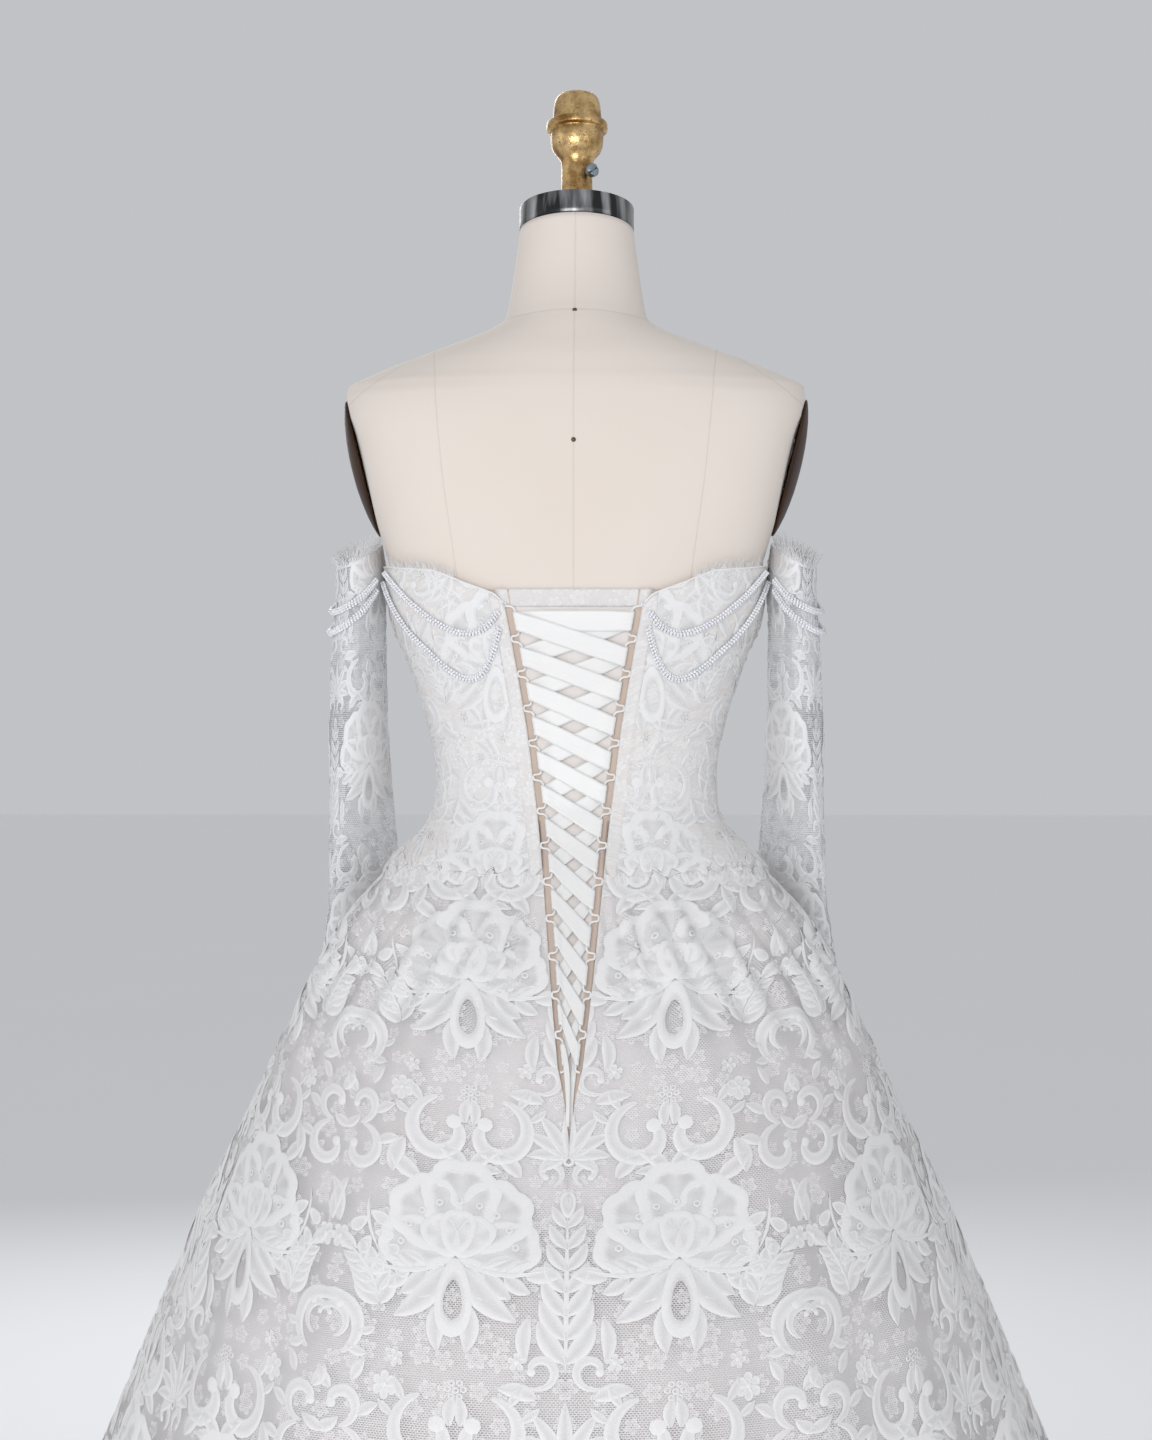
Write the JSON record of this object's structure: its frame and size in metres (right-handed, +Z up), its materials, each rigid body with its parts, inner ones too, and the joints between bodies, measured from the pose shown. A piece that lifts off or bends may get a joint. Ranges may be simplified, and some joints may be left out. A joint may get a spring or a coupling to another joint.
{
  "type": "wedding dress on dress form",
  "caption": "Off-the-shoulder lace wedding dress with a laced-up back and a full floor-length skirt, standing on a limbless dress form with a neck cap, finial and flat base.",
  "frame": {"origin": "on the floor, at the centre of the stand base's underside", "axes": "+Z up, +Y out of the back of the dress, where the lacing is, +X towards the dress's left half, which is at the left when one faces the lacing"},
  "size_m": [1.1904, 1.2185, 1.6654],
  "materials": {
    "form_cover": "cream stretch cover cloth, matt",
    "arm_plate": "dark brown moulded plate",
    "brushed_steel": "brushed, fine lines across",
    "brass": "cast, lightly tarnished",
    "zinc": "zinc plated",
    "black_metal": "black powder coat",
    "white_lace": "white corded lace on fine net",
    "net": "pale beige grey net over lining",
    "sleeve_lace": "white lace on sheer net",
    "nude_net": "nude net",
    "satin": "white satin",
    "beads": "clear and silver bead strings"
  },
  "bodies": {
    "root": {"bodice_back_left": "white_lace", "bodice_back_right": "white_lace", "bodice_centre_front": "white_lace", "bodice_side_back_left": "white_lace", "bodice_side_back_right": "white_lace", "bodice_side_front_left": "white_lace", "bodice_side_front_right": "white_lace", "eyelash_back_left": "white_lace", "eyelash_back_right": "white_lace", "eyelash_sleeve_left": "white_lace", "eyelash_sleeve_right": "white_lace", "form_arm_plate_left": "arm_plate", "form_arm_plate_right": "arm_plate", "form_base": "black_metal", "form_finial": "brass", "form_neck_cap": "brushed_steel", "form_pole": "brushed_steel", "form_set_screw": "zinc", "form_torso": "form_cover", "lace_skirt_back_left": "white_lace", "lace_skirt_back_right": "white_lace", "lace_skirt_front": "white_lace", "lacing_loops_left": "satin", "lacing_loops_right": "satin", "lacing_ribbon": "satin", "modesty_panel": "nude_net", "sleeve_left": "sleeve_lace", "sleeve_right": "sleeve_lace", "swag_back_lower_left": "beads", "swag_back_lower_right": "beads", "swag_back_upper_left": "beads", "swag_back_upper_right": "beads", "swag_sleeve_lower_left": "beads", "swag_sleeve_lower_right": "beads", "swag_sleeve_upper_left": "beads", "swag_sleeve_upper_right": "beads", "underskirt_back_left": "net", "underskirt_back_right": "net", "underskirt_front": "net"}
  },
  "joints": []
}
